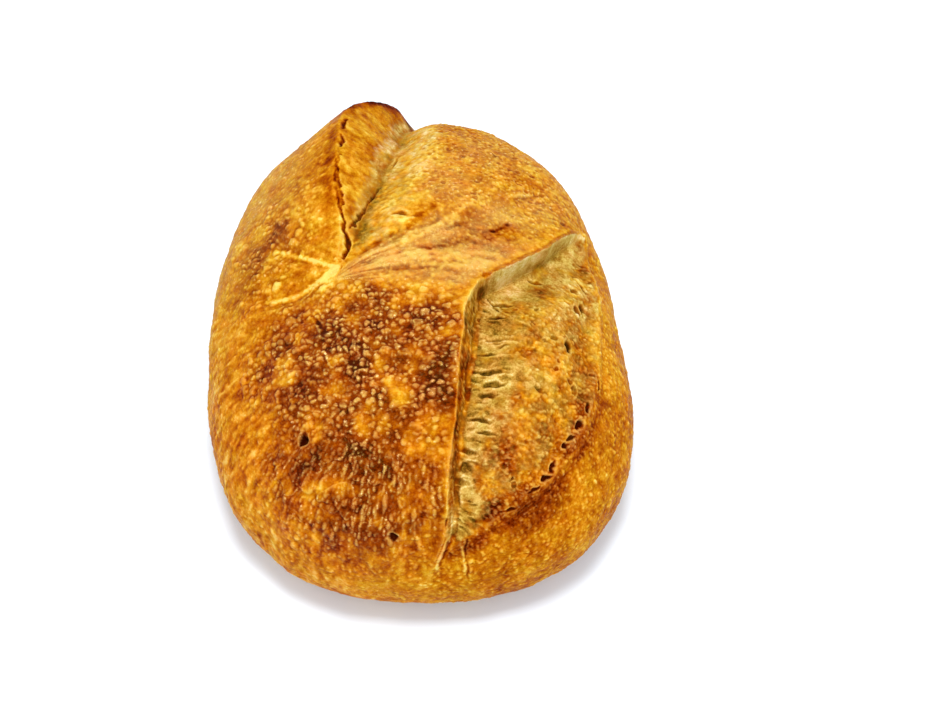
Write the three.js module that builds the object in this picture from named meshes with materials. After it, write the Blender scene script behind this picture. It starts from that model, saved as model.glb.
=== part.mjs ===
// A hearth-baked sourdough loaf: one solid, an oval dome with a bulging side and a flat base.
// Two curved scores have opened in the oven. Along each one the crust has lifted into an ear with a sharp
// ridge, and below the ear the torn crumb, the bloom, falls away to a foot and swells back up to the crust.
// Millimetres. +X is the loaf's right, +Y its narrow end, +Z up, and it stands on Z = 0.
import * as THREE from "three";
import { mergeVertices } from "three/addons/utils/BufferGeometryUtils.js";

const { clamp, lerp, smoothstep } = THREE.MathUtils;

// Driving dimensions of the smooth loaf.
const HALF_WIDTH = 102;
const BROAD_END = 103; // from the widest section forward to the broad end
const NARROW_END = 150.5; // from the widest section back to the narrow end
const BROAD_SQUARENESS = 2.4; // 2 is an ellipse, more is squarer
const NARROW_SQUARENESS = 2.36;
// The plan outline's unevenness: waves round it, and each one's cosine and sine shares of the reach.
const OUTLINE_WAVES = [
  [2, -0.018, -0.005],
  [3, -0.012, -0.006],
];
const CROWN_HEIGHT = 103;
const BULGE_HEIGHT = 38; // where the side is widest
const DOME_SQUARENESS = 2.15;
const BASE_SHARE = 0.8; // the flat base's reach as a share of the outline

// How the sphere's polar angle is shared out between the dome, the side under the bulge and the base.
const BULGE_ANGLE = 0.62 * Math.PI;
const BASE_ANGLE = 0.84 * Math.PI;

const EDGE_DIVISIONS = 24; // of each edge of the icosahedron: 20 x 24 x 24 triangles
const CROWD_REACH = 10; // how far from a ridge or foot line vertices are drawn towards it
const CROWD_POWER = 1.6;
const FACE_SHARE = 7; // the least width that a score's face takes before crowding
const CURVE_STEPS = 8; // spline points to each row below

// The crust map: the crust peeled off and laid flat, with the crown at 0, 0. A point's distance from the
// crown is its way down the side, and its bearing is its true bearing.
// Score rows: x and y on the map, the ear's lift, the width of its face, and the drop from the crust to
// the foot. The bloom lies to the right of the way the rows run.
const FRONT_SCORE = [
  [-10, -137, 0, 3, 0],
  [-5, -117, 0.6, 4, 1.5],
  [1, -99, 1.6, 5, 3],
  [3, -78, 2.6, 5, 5],
  [5, -56, 3.2, 5, 7],
  [8, -35, 3.4, 5, 7],
  [10, -14, 3.6, 7, 7],
  [13, 1, 4, 8, 8],
  [19, 14, 4.6, 6, 9],
  [27, 20, 4.6, 5, 10],
  [36, 25, 4.6, 4, 11],
  [49, 34, 4, 4, 10],
  [66, 49, 2.6, 4, 7],
  [87, 65, 0, 3, 0],
];
const BACK_SCORE = [
  [-27, 25, 0, 3, 0],
  [-24, 42, 3, 6, 4],
  [-25, 56, 6, 11, 5],
  [-26, 72, 9, 17, 6],
  [-26, 92, 12, 22, 6],
  [-25, 112, 13.5, 25, 6],
  [-20, 130, 14, 23, 7],
  [-9, 147, 12, 16, 6],
  [1, 160, 8, 10, 5],
  [8, 175, 3, 8, 3],
  [13, 190, 0, 6, 0],
];
// The bloom's outer edge on the front score: a torn, browned rim.
const FRONT_RIM = [
  [87, 62],
  [85, 31],
  [83, 8],
  [77, -15],
  [68, -40],
  [53, -63],
  [32, -82],
  [6, -104],
];
// A crease folds the crust between the crown band and the shoulder behind it.
const BAND_CREASE = [
  [-24, 27],
  [-10, 34],
  [5, 40],
  [22, 47],
  [42, 60],
];
// Two creases meet in a point beside the back score.
const NICK_UPPER = [
  [-52, 45],
  [-36, 33],
  [-27, 26],
];
const NICK_LOWER = [
  [-60, 23],
  [-46, 21],
  [-36, 23],
  [-27, 26],
];

const FRONT_EAR_REACH = 20; // how far back from its ridge the crust starts to lift
const BACK_EAR_REACH = 48;
const FRONT_BLOOM_REACH = 26; // how far the bloom takes to swell back to the crust
const BACK_BLOOM_REACH = 18;
const FRONT_LEAN = 0.7; // how far a ridge leans over its bloom, as a share of its lift
const BACK_LEAN = 0.25;
const BLOOM_SWELL = 2.2; // the front bloom's own rise in its middle
const RIM_RISE = 1.6;
const RIM_HALF_WIDTH = 6;
const CREASE_STEP = 1.6;
const CREASE_SLOPE = 5; // half the width of the step
const CREASE_REACH = 26;
const NICK_DEPTH = 1.8;
const NICK_HALF_WIDTH = 6;
const LUMP_RISE = 0.22; // the crust's broad unevenness

// Slow waves over the crust map: wave numbers in radians per millimetre, and a phase.
const LUMP_WAVES = [
  [0.071, 0.038, 0.4],
  [-0.046, 0.083, 2.1],
  [0.115, -0.062, 4.4],
  [0.034, 0.131, 1.2],
  [0.165, 0.052, 5.3],
  [-0.121, 0.117, 3.3],
];

// Where the whole side swells out or draws in: x, y, half width, rise.
const SWELLS = [
  [76, 96, 42, 2],
  [94, 45, 26, -1.2],
  [-70, 122, 42, 2],
];

// Catmull-Rom through rows of numbers, with every column carried along.
function splineThrough(rows) {
  const points = [];
  for (let i = 0; i < rows.length - 1; i++) {
    const [a, b, c, d] = [-1, 0, 1, 2].map((k) => rows[clamp(i + k, 0, rows.length - 1)]);
    for (let step = 0; step < CURVE_STEPS; step++) {
      const t = step / CURVE_STEPS;
      points.push(
        b.map(
          (value, j) =>
            value +
            0.5 * t * (c[j] - a[j]) +
            t * t * (a[j] - 2.5 * value + 2 * c[j] - 0.5 * d[j]) +
            t * t * t * (1.5 * (value - c[j]) + 0.5 * (d[j] - a[j])),
        ),
      );
    }
  }
  points.push(rows.at(-1));
  return points;
}

// The point of a curve nearest to a place on the map: all its columns, its signed distance, positive to
// the right of the curve's direction, and the unit vector that points there.
function nearestOn(curve, place) {
  let best = { gap: Infinity };
  for (let i = 0; i < curve.length - 1; i++) {
    const [from, to] = [curve[i], curve[i + 1]];
    const along = new THREE.Vector2(to[0] - from[0], to[1] - from[1]);
    const offset = new THREE.Vector2(place.x - from[0], place.y - from[1]);
    const share = clamp(offset.dot(along) / along.lengthSq(), 0, 1);
    const gap = offset.clone().addScaledVector(along, -share).length();
    if (gap < best.gap) {
      const side = Math.sign(offset.x * along.y - offset.y * along.x) || 1;
      const across = new THREE.Vector2(along.y, -along.x).normalize();
      best = { gap, distance: side * gap, across, row: from.map((v, j) => lerp(v, to[j], share)) };
    }
  }
  return best;
}

const frontScore = splineThrough(FRONT_SCORE);
const backScore = splineThrough(BACK_SCORE);
const frontRim = splineThrough(FRONT_RIM);
const bandCrease = splineThrough(BAND_CREASE);
const nickUpper = splineThrough(NICK_UPPER);
const nickLower = splineThrough(NICK_LOWER);

// The plan outline's reach from the widest section's middle, along a bearing.
function outlineReach(bearing) {
  const back = Math.sin(bearing) > 0;
  const power = back ? NARROW_SQUARENESS : BROAD_SQUARENESS;
  const across = Math.abs(Math.cos(bearing)) / HALF_WIDTH;
  const along = Math.abs(Math.sin(bearing)) / (back ? NARROW_END : BROAD_END);
  let uneven = 1;
  for (const [waves, cosine, sine] of OUTLINE_WAVES) {
    uneven += cosine * Math.cos(waves * bearing) + sine * Math.sin(waves * bearing);
  }
  return uneven * (across ** power + along ** power) ** (-1 / power);
}

// The way down the crust from the crown to the bulge, along a bearing.
function crownToBulge(bearing) {
  const rise = CROWN_HEIGHT - BULGE_HEIGHT;
  return (Math.PI / 2) * Math.sqrt((outlineReach(bearing) ** 2 + rise ** 2) / 2);
}

// The smooth loaf at a place on the crust map.
function smoothLoaf(place) {
  const bearing = Math.atan2(place.y, place.x);
  const polar = (place.length() / crownToBulge(bearing)) * BULGE_ANGLE;
  const reach = outlineReach(bearing);
  let radius, height;
  if (polar <= BULGE_ANGLE) {
    const turn = (polar / BULGE_ANGLE) * (Math.PI / 2);
    radius = reach * Math.sin(turn) ** (2 / DOME_SQUARENESS);
    height = BULGE_HEIGHT + (CROWN_HEIGHT - BULGE_HEIGHT) * Math.cos(turn) ** (2 / DOME_SQUARENESS);
  } else if (polar <= BASE_ANGLE) {
    const turn = ((polar - BULGE_ANGLE) / (BASE_ANGLE - BULGE_ANGLE)) * (Math.PI / 2);
    radius = reach * (BASE_SHARE + (1 - BASE_SHARE) * Math.cos(turn));
    height = BULGE_HEIGHT * (1 - Math.sin(turn));
  } else {
    radius = (reach * BASE_SHARE * (Math.PI - polar)) / (Math.PI - BASE_ANGLE);
    height = 0;
  }
  return new THREE.Vector3(radius * Math.cos(bearing), radius * Math.sin(bearing), height);
}

function outwardNormal(place) {
  const step = 0.5;
  const slopeOf = (x, y) =>
    smoothLoaf(new THREE.Vector2(place.x + x, place.y + y)).sub(
      smoothLoaf(new THREE.Vector2(place.x - x, place.y - y)),
    );
  return slopeOf(step, 0).cross(slopeOf(0, step)).normalize();
}

// Across a score: the crust curls up to the ridge, the face falls to the foot, and the bloom swells back.
function scoreRelief({ distance, row }, earReach, bloomReach) {
  const [, , lift, face, drop] = row;
  if (distance <= 0) return lift * Math.max(0, 1 + distance / earReach) ** 2;
  if (distance <= face) return lerp(lift, -drop, distance / face);
  return -drop * (1 - smoothstep(distance - face, 0, bloomReach));
}

// How far a place near a ridge is carried towards the bloom, so that the ear overhangs.
function scoreLean({ distance, row }, earReach, lean) {
  const [, , lift, face] = row;
  const fade = distance <= 0 ? Math.max(0, 1 + distance / earReach) ** 2 : Math.max(0, 1 - distance / face);
  return lean * lift * fade;
}

function bump(distance, halfWidth) {
  return 1 - smoothstep(Math.abs(distance), 0, halfWidth);
}

// The crust's height above the smooth loaf at a place on the map.
function relief(place, front, back) {
  const rim = nearestOn(frontRim, place);
  const crease = nearestOn(bandCrease, place);
  const nick = Math.min(nearestOn(nickUpper, place).gap, nearestOn(nickLower, place).gap);
  const inBloom = front.distance > 0 && rim.distance > 0;
  const middle = inBloom ? Math.min(front.gap, rim.gap) : 0;
  let swell = 0;
  for (const [x, y, halfWidth, rise] of SWELLS) {
    swell += rise * bump(Math.hypot(place.x - x, place.y - y), halfWidth);
  }
  let lumps = 0;
  for (const [kx, ky, phase] of LUMP_WAVES) lumps += Math.sin(kx * place.x + ky * place.y + phase);
  return (
    scoreRelief(front, FRONT_EAR_REACH, FRONT_BLOOM_REACH) +
    scoreRelief(back, BACK_EAR_REACH, BACK_BLOOM_REACH) +
    BLOOM_SWELL * smoothstep(middle, 6, 24) +
    RIM_RISE * bump(rim.distance, RIM_HALF_WIDTH) +
    CREASE_STEP * smoothstep(-crease.distance, -CREASE_SLOPE, CREASE_SLOPE) * bump(crease.gap, CREASE_REACH) -
    NICK_DEPTH * bump(nick, NICK_HALF_WIDTH) +
    swell +
    LUMP_RISE * lumps
  );
}

// Vertices crowd towards a score's ridge and foot, so that both lines are clean. This is the distance
// across the score that a vertex moves to.
function crowded({ distance, row }) {
  const [, , lift, face, drop] = row;
  const share = Math.max(face, FACE_SHARE);
  const beyond = distance < 0 ? -distance : distance - share;
  const eased = (Math.max(beyond, 0) / CROWD_REACH) ** CROWD_POWER;
  let moved = distance;
  if (distance >= 0 && distance <= share) moved = face * smoothstep(distance, 0, share);
  else if (distance < 0 && eased < 1) moved = -CROWD_REACH * eased;
  else if (eased < 1) moved = lerp(face, share + CROWD_REACH, eased);
  return lerp(distance, moved, smoothstep(lift + drop, 0, 3));
}

// A point of the unit sphere, carried to the loaf's surface.
function loafPoint(direction) {
  const bearing = Math.atan2(direction.y, direction.x);
  const polar = Math.acos(clamp(direction.z, -1, 1));
  const way = (polar / BULGE_ANGLE) * crownToBulge(bearing);
  let place = new THREE.Vector2(way * Math.cos(bearing), way * Math.sin(bearing));
  if (polar > BASE_ANGLE) return smoothLoaf(place);
  for (const curve of [frontScore, backScore]) {
    const score = nearestOn(curve, place);
    place = place.clone().addScaledVector(score.across, crowded(score) - score.distance);
  }
  const front = nearestOn(frontScore, place);
  const back = nearestOn(backScore, place);
  const fade = 1 - smoothstep(polar, BULGE_ANGLE, BASE_ANGLE); // the base stays flat
  const height = fade * relief(place, front, back);
  const leant = place
    .clone()
    .addScaledVector(front.across, scoreLean(front, FRONT_EAR_REACH, FRONT_LEAN))
    .addScaledVector(back.across, scoreLean(back, BACK_EAR_REACH, BACK_LEAN));
  return smoothLoaf(leant).addScaledVector(outwardNormal(leant), height);
}

function loafGeometry() {
  const sphere = new THREE.IcosahedronGeometry(1, EDGE_DIVISIONS - 1);
  sphere.deleteAttribute("normal");
  sphere.deleteAttribute("uv");
  const geometry = mergeVertices(sphere, 1e-5);
  const position = geometry.getAttribute("position");
  for (let i = 0; i < position.count; i++) {
    position.setXYZ(i, ...loafPoint(new THREE.Vector3().fromBufferAttribute(position, i)));
  }
  geometry.computeBoundingBox();
  const middle = geometry.boundingBox.getCenter(new THREE.Vector3());
  geometry.translate(-middle.x, -middle.y, -geometry.boundingBox.min.z);
  geometry.computeVertexNormals();
  return geometry;
}

const crust = new THREE.MeshStandardMaterial({ color: 0xb87333, roughness: 0.62, metalness: 0 });
const loaf = new THREE.Mesh(loafGeometry(), crust);
loaf.name = "loaf";

const group = new THREE.Group();
group.add(loaf);
export default group;
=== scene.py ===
"""A hearth-baked sourdough loaf, dressed over its CAD solid.

The crust is one closed surface, worked out from the crust map: the crust peeled off and laid flat, with the
crown at 0, 0. A place's distance from the crown is its way down the side. Its bearing is its true bearing.
Shapes are worked out in millimetres, with +X the loaf's right, +Y its narrow end and +Z up.
"""

import math
from types import SimpleNamespace

import bmesh
import bpy
import numpy as np
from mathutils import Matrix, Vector


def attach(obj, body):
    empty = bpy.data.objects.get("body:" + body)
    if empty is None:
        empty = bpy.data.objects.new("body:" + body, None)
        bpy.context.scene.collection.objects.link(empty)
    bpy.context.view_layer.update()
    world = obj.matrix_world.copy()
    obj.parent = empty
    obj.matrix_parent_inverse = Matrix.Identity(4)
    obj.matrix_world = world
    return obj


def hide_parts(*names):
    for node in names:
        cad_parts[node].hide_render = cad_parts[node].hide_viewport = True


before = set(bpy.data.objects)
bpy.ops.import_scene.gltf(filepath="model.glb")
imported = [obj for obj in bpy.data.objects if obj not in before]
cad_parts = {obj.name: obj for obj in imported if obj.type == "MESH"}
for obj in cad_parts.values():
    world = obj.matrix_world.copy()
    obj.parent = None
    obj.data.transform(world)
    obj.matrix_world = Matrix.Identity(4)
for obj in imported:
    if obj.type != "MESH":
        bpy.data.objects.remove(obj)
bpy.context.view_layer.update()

MM = 0.001

# ---------------- the smooth loaf, as in the CAD source
HALF_WIDTH = 102
BROAD_END = 103  # from the widest section forward to the broad end
NARROW_END = 150.5  # from the widest section back to the narrow end
BROAD_SQUARENESS = 2.4  # 2 is an ellipse, more is squarer
NARROW_SQUARENESS = 2.36
OUTLINE_WAVES = [(2, -0.018, -0.005), (3, -0.012, -0.006)]
CROWN_HEIGHT = 103
BULGE_HEIGHT = 38  # where the side is widest
DOME_SQUARENESS = 2.15
BASE_SHARE = 0.8  # the flat base's reach as a share of the outline
BULGE_ANGLE = 0.62 * math.pi
BASE_ANGLE = 0.84 * math.pi
MIDDLE = np.array([-1.32, 26.48, 0])  # the outline's centre, which stands at the frame's origin

# Score rows: x and y on the map, the ear's lift, the width of its face, and the drop to its foot.
FRONT_SCORE = [
    (-10, -137, 0, 3, 0),
    (-5, -117, 0.6, 4, 1.5),
    (1, -99, 1.6, 5, 3),
    (3, -78, 2.6, 5, 5),
    (5, -56, 3.2, 5, 7),
    (8, -35, 3.4, 5, 7),
    (10, -14, 3.6, 7, 7),
    (13, 1, 4, 8, 8),
    (19, 14, 4.6, 6, 9),
    (27, 20, 4.6, 5, 10),
    (36, 25, 4.6, 4, 11),
    (49, 34, 4, 4, 10),
    (66, 49, 2.6, 4, 7),
    (87, 65, 0, 3, 0),
]
BACK_SCORE = [
    (-27, 25, 0, 3, 0),
    (-24, 42, 3, 6, 4),
    (-25, 56, 6, 11, 5),
    (-26, 72, 9, 17, 6),
    (-26, 92, 12, 22, 6),
    (-25, 112, 13.5, 25, 6),
    (-20, 130, 14, 23, 7),
    (-9, 147, 12, 16, 6),
    (1, 160, 8, 10, 5),
    (8, 175, 3, 8, 3),
    (13, 190, 0, 6, 0),
]
FRONT_RIM = [(87, 62), (85, 31), (83, 8), (77, -15), (68, -40), (53, -63), (32, -82), (6, -104)]
BAND_CREASE = [(-24, 27), (-10, 34), (5, 40), (22, 47), (42, 60)]
NICK_UPPER = [(-52, 45), (-36, 33), (-27, 26)]
NICK_LOWER = [(-60, 23), (-46, 21), (-36, 23), (-27, 26)]
FRONT_EAR_REACH = 20  # how far back from its ridge the crust starts to lift
BACK_EAR_REACH = 48
FRONT_BLOOM_REACH = 26  # how far the bloom takes to swell back to the crust
BACK_BLOOM_REACH = 18
FRONT_LEAN = 0.7  # how far a ridge leans over its bloom, as a share of its lift
BACK_LEAN = 0.25
BLOOM_SWELL = 2.2
BLOOM_SLOPE = (6, 24)  # how far from the bloom's edges its swell starts and is full
RIM_RISE = 1.6
RIM_HALF_WIDTH = 6
CREASE_STEP = 1.6
CREASE_SLOPE = 5
CREASE_REACH = 26
NICK_DEPTH = 1.8
NICK_HALF_WIDTH = 4  # the CAD solid's are wider, because its mesh is coarser
LUMP_RISE = 0.22
LUMP_WAVES = [
    (0.071, 0.038, 0.4),
    (-0.046, 0.083, 2.1),
    (0.115, -0.062, 4.4),
    (0.034, 0.131, 1.2),
    (0.165, 0.052, 5.3),
    (-0.121, 0.117, 3.3),
]
# Where the whole side swells out or draws in: x, y, half width, rise.
SWELLS = [
    (76, 96, 42, 2),
    (94, 45, 26, -1.2),
    (-70, 122, 42, 2),
]

# ---------------- what only the visual model has
EDGE_DIVISIONS = 208  # of each edge of the icosahedron: 20 x 208 x 208 triangles
CURVE_STEPS = 5  # spline points to each row of a curve
ROLL_RADIUS = 85  # of the cylinder that carries patterns running down the sides
FAN_CENTRE = np.array([-32, 22])  # where the streaks of the pale band start
FINE_MEAN = 0.35  # of the fine relief, taken off so that the crust stays level with the CAD solid's
WELL_BAKED = 0.75  # above this, toasting adds up half as fast

# Pits torn in the crust: x, y, half length, half width, turn in degrees from +x, depth.
PITS = [
    (-49, -43, 2.8, 1.7, 55, 5),
    (-20, -93, 2.4, 1.4, -50, 2),
    (52, 24, 3.4, 1.1, -18, 1.8),
    (76, 25, 4.2, 1.2, -62, 1.8),
    (73, 11, 3.0, 1.7, -75, 2),
    (59, -12, 2.8, 2.0, 75, 3.2),
    (75, -28, 2.4, 1.0, 80, 1.8),
    (66, -39, 2.6, 1.1, 75, 1.8),
    (61, -46, 2.2, 1.6, 50, 2.8),
    (57, -52, 1.6, 1.1, 20, 1.8),
    (54, -55, 1.9, 1.3, 40, 2.4),
    (49, -64, 2.6, 1.3, 70, 2.6),
    (46, -69, 2.2, 1.2, 15, 2.4),
    (41, -74, 2.6, 0.9, 30, 1.2),
    (31, -83, 3.2, 0.9, 20, 1.1),
    (40, 92, 2.2, 0.8, -35, 1.2),
    (-2, 45, 3.0, 1.0, -30, 1.5),
    (47, 72, 1.8, 0.7, -60, 1),
    (23, 17, 2.4, 1.2, 20, 1.2),
]
# Hollows between the torn strands by the front ear's foot.
HOLLOWS = [
    (33, 9, 4.6, 1.1, -4, 2.2),
    (23, -21, 4.4, 1.2, -8, 2.6),
    (25, -26.5, 4.8, 0.9, -12, 2.4),
    (22, -31, 3.4, 1.1, -16, 2.6),
    (19, -41, 4.6, 1.0, -14, 2.6),
    (21, -47, 3.8, 0.8, -18, 2.0),
    (14, -54, 3.2, 1.8, -30, 3),
    (13, -62, 2.6, 2.6, 0, 3.4),
    (10, -69, 2.0, 2.4, 10, 2.6),
    (9, -77, 1.5, 3.6, 8, 2.6),
    (30, 2, 4, 0.7, -10, 1.4),
    (27, -8, 3.8, 0.7, -6, 1.4),
    (23, -14, 3.0, 0.8, -12, 1.6),
    (42, -31, 2.4, 0.9, -30, 1.4),
]
# Cracks: rows of x, y, half width and depth.
CRACKS = [
    [(-24, 30, 0.6, 1.2), (-22, 36, 1.1, 2.2), (-23, 43, 0.8, 1.6), (-24, 50, 0.8, 1.2), (-25, 59, 1.1, 1.1),
     (-26, 68, 1.1, 1.0), (-26, 76, 0.8, 0.8), (-25, 82, 0.4, 0.5)],
    [(-26, 87, 0.4, 0.8), (-24, 92, 1.1, 1.2), (-25, 96, 0.4, 0.8)],
    [(-25, 100, 0.4, 0.8), (-24, 105, 1.2, 1.4), (-23, 111, 0.4, 0.8)],
    [(-21, 43, 0.4, 0.6), (-17, 52, 0.7, 1.5), (-15, 56, 0.4, 0.8), (-12, 63, 0.7, 1.5), (-8, 72, 0.4, 0.6)],
    [(-4, 85, 0.4, 0.5), (-2, 90, 0.6, 1.0), (-1, 94, 0.4, 0.5)],
    [(13, -99, 0.5, 0.3), (12, -108, 0.7, 0.6), (15, -128, 0.5, 0.3)],
]
# Pale ridges and dark creases in the crust: rows of x and y, then half width, rise, and how much darker.
STREAKS = [
    ([(-24, 26), (-14, 28), (-5, 30), (4, 35), (14, 42), (25, 56)], 1.8, 0.7, -0.22),
    # A dark crease beside the first pale ridge: painted shade.
    ([(-20, 30), (-11, 33), (-3, 37), (7, 45), (13, 54)], 1.7, -0.5, 0.16),
    ([(-16, 24), (-1, 26), (8, 23), (21, 23), (35, 29)], 3.2, 0.6, -0.24),
    ([(-18, 27), (-4, 28.5), (6, 28), (17, 29)], 1.2, -0.35, 0.10),
    ([(-22, 22), (-6, 16), (5, 12), (15, 10)], 2.6, 0.4, -0.10),
    ([(17, 45), (21, 36), (29, 34), (43, 43)], 2.4, 0.5, 0.12),
    ([(28, 39), (34, 41), (40, 47)], 0.9, -0.5, 0.3),
    ([(-46, 7), (-39, 8), (-35, 0)], 0.8, -0.7, 0.3),
    ([(6, -80), (7, -86), (6, -94), (2, -102), (-2, -113), (-1, -126)], 1.2, 0.8, -0.42),
    ([(10, -99), (12, -110), (13, -126)], 1.0, 0.5, -0.22),
    ([(-57, -18), (-51, -15), (-46, -14)], 1.0, 0.6, -0.25),
    ([(-22, -60), (-21, -50), (-18, -42)], 3.0, 0.5, 0.02),
    # The dark outline along the back ear's top end: partly a darker bake, partly painted shade.
    ([(-27, 110), (-23, 124), (-17, 134), (-10, 143), (-5, 150), (0, 156), (5, 159), (9, 156), (13, 146)],
     3.0, 0.3, 0.5),
    ([(-25, 42), (-27, 54), (-28, 70), (-28, 86), (-27, 100), (-26, 120)], 3.4, 0.3, 0.4),
    ([(17, 6), (14, -2), (12, -12), (11, -20), (9, -32), (7, -46), (6, -60)], 1.7, 0.1, 0.28),
]
# How far the torn crumb reaches from the front ear's foot: the map's y, then the reach there.
CRUMB_REACH = [
    *[(-118, 4), (-100, 8), (-88, 14), (-70, 13), (-55, 11), (-44, 15), (-36, 22), (-28, 30)],
    *[(-22, 22), (-12, 17), (0, 18), (12, 24), (24, 20), (40, 12), (60, 8)],
]
CRUMB_TUFT = (6, -90, 5, 11)  # pale crumb where the score runs out: x, y, and half its size along x and y
# Where the crust is blistered: x, y, half the size along x and y, strength.
BLISTER_ZONES = [
    (-26, -14, 66, 48, 1.2),
    (-36, -66, 62, 62, 0.95),
    (-62, 50, 34, 46, 0.5),
]
# The round blisters, big to small: size, height, share of the cells, flatness, noise channel.
BLISTERS = [(6.5, 1.7, 0.26, 0.8, 65), (4.4, 1.5, 0.65, 1, 60), (3.2, 1.15, 1.1, 0.9, 70)]
# Where the crust is baked darker, or lighter below 0: x, y, half length, half width, turn, amount.
TOAST_SPOTS = [
    (-22, -18, 58, 42, 0, 0.14),
    (-30, -72, 54, 42, 0, 0.19),
    (-29, -10, 16, 12, 20, 0.16),
    (4, -24, 12, 20, 0, 0.14),
    (-40, -86, 12, 16, 0, 0.12),
    (-51, 57, 9, 6, 10, 0.18),
    (-58, -5, 9, 6, 60, 0.10),
    (-49, -24, 9, 6, 60, 0.10),
    (-17, 17, 22, 5, -5, -0.10),
    (-28, 24, 7, 6, 0, -0.30),
    (-40, 29, 10, 6, -10, 0.06),
    (-56, 28, 6, 4, 0, -0.25),
    (-10, 150, 30, 14, 30, 0.16),
    (25, 15, 7, 6, 0, 0.26),
    (62, -6, 6, 4, 30, 0.30),
    (50, 15, 9, 5, 20, 0.16),
    (36, -16, 7, 4, -10, 0.14),
    (58, -11, 6, 4, 70, 0.22),
    (45, -85, 26, 17, 40, 0.24),
    (68, 58, 12, 5, -50, 0.16),
    (6, -103, 10, 12, 0, 0.10),
    (44, -28, 12, 5, -24, -0.16),
    (65, 33, 8, 6, 0, -0.16),
    (40, -62, 12, 6, 40, 0.10),
    (-40, -128, 60, 12, 0, -0.06),
    (88, -8, 16, 44, 0, -0.10),
]
# How much darker each kind of crust is baked, and what its marks add.
TOASTED = {
    "bloom": 0.15, "rim": 0.28, "fibres": 0.07, "strip": -0.13, "lines": -0.16, "band": 0.12,
    "streaks": -0.08, "blister": 0.22, "back_face": 0.07, "back_bloom": -0.1, "shoulder": 0.06,
    "low_flank": 0.1, "left_flank": -0.05, "grains": -0.1,
}
# Patches baked darker and lighter: the kind of crust, amount, size, noise channel.
MOTTLES = [
    *[("bloom", 0.26, 5, 206), ("bloom", 0.25, 10, 207)],
    *[("blister", 0.32, 5, 185), ("blister", 0.34, 10, 186)],
]
# How far each kind of crust is torn open to the crumb.
TORN = {"crumb": 0.85, "valley": 0.45, "wall": 0.3, "down_face": 0.25, "back_bloom": 0.42}
# How much lighter the crumb is in each.
LIGHTER = {
    # The wall's crumb is lighter partly for its paler colour and partly as painted light against the shade
    # it stands in.
    "crumb": 0.02, "bare": -0.12, "by_wall": 0.18, "tuft": 0.15, "wall": 0.08, "down_face": 0.06,
    # The pits, hollows and cracks are made darker with painted shade.
    "valley": -0.06, "sunk": -0.32, "darker": -1,
}
# How much yellower, or redder where it is below 0, the colour of each is.
MORE_GOLDEN = {
    "crumb": 0.06, "bare": 0.03, "rim": 0.03, "strip": -0.06, "wall": 0.07, "blister": 0.05, "nicked": 0.04,
    "back_face": 0.04, "back_bloom": 0.06, "low_flank": 0.05, "darker": -0.2,
}

rng = np.random.default_rng(5)
HASH = rng.random((5, 1 << 14))
PRIMES = np.array([73856093, 19349663, 83492791])
CHANNEL_PRIME = 2654435761
LEAST_RADIUS = 0.32  # of a dome, as a share of its cell
MOST_RADIUS = 0.68


# ---------------- shares and noise
def smoothstep(x, low, high):
    """0 up to low, rising smoothly to 1 at high."""
    t = np.clip((x - low) / (high - low), 0, 1)
    return t * t * (3 - 2 * t)


def fading(x, low, high):
    """1 up to low, falling smoothly to 0 at high."""
    return 1 - smoothstep(x, low, high)


def bump(distance, half_width):
    """1 at a distance of 0, falling smoothly to 0 at half_width to either side."""
    return fading(np.abs(distance), 0, half_width)


def lerp(a, b, share):
    return a + (b - a) * share


def hash_slot(x, y, z, channel):
    """Where in HASH the numbers of a lattice cell stand, from its coordinates times PRIMES."""
    key = x ^ y ^ z ^ (channel * CHANNEL_PRIME)
    key ^= key >> 13
    return key & (HASH.shape[1] - 1)


def noise(points, size, channel):
    """Smooth noise from -1 to 1, with lumps of about the given size."""
    scaled = points / size
    cell = np.floor(scaled).astype(np.int64)
    share = (scaled - cell).T
    share = share * share * (3 - 2 * share)
    low = (cell * PRIMES).T
    keys = (low, low + PRIMES[:, None])
    shares = (1 - share, share)
    value = np.zeros(len(points))
    for i, j, k in np.ndindex(2, 2, 2):
        slot = hash_slot(keys[i][0], keys[j][1], keys[k][2], channel)
        value += shares[i][0] * shares[j][1] * shares[k][2] * HASH[0][slot]
    return value * 2 - 1


def fractal(points, size, channel, octaves=3):
    """Noise from -1 to 1 with finer noise on top, each octave half the size and half the height."""
    total = 0
    for octave in range(octaves):
        total = total + noise(points, size / 2**octave, channel + octave) / 2**octave
    return total / (2 - 0.5 ** (octaves - 1))


def folds(points, size, channel):
    """Noise with sharp ridges, from -1 in the hollows to 1 on the ridges."""
    return 1 - 2 * np.abs(noise(points, size, channel))


def domes(points, size, channel, density, flatness=0.5):
    """The tallest of the round bubbles at each point, from 0 to 1. density is the share of cells filled."""
    scaled = (points / size).T
    cell = np.floor(scaled).astype(np.int64)
    tallest = np.zeros(len(points))
    for step in np.ndindex(3, 3, 3):
        home = [cell[axis] + step[axis] - 1 for axis in range(3)]
        slot = hash_slot(*(home[axis] * PRIMES[axis] for axis in range(3)), channel)
        away = sum((scaled[axis] - home[axis] - 0.15 - 0.7 * HASH[axis][slot]) ** 2 for axis in range(3))
        radius = lerp(LEAST_RADIUS, MOST_RADIUS, HASH[3][slot])
        there = np.clip((density - HASH[4][slot]) * 10, 0, 1)
        dome = there * radius / MOST_RADIUS * np.maximum(0, 1 - away / radius**2) ** flatness
        tallest = np.maximum(tallest, dome)
    return tallest


def wander(points, size, channel, axes):
    """Noise for each of that many axes, to move places or points by."""
    return np.column_stack([noise(points, size, channel + axis) for axis in range(axes)])


def shaken(points, amount, size, channel):
    """Points moved about at random, so that what is laid out on them looks grown and not drawn."""
    return points + amount * wander(points, size, channel, 3)


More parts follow.
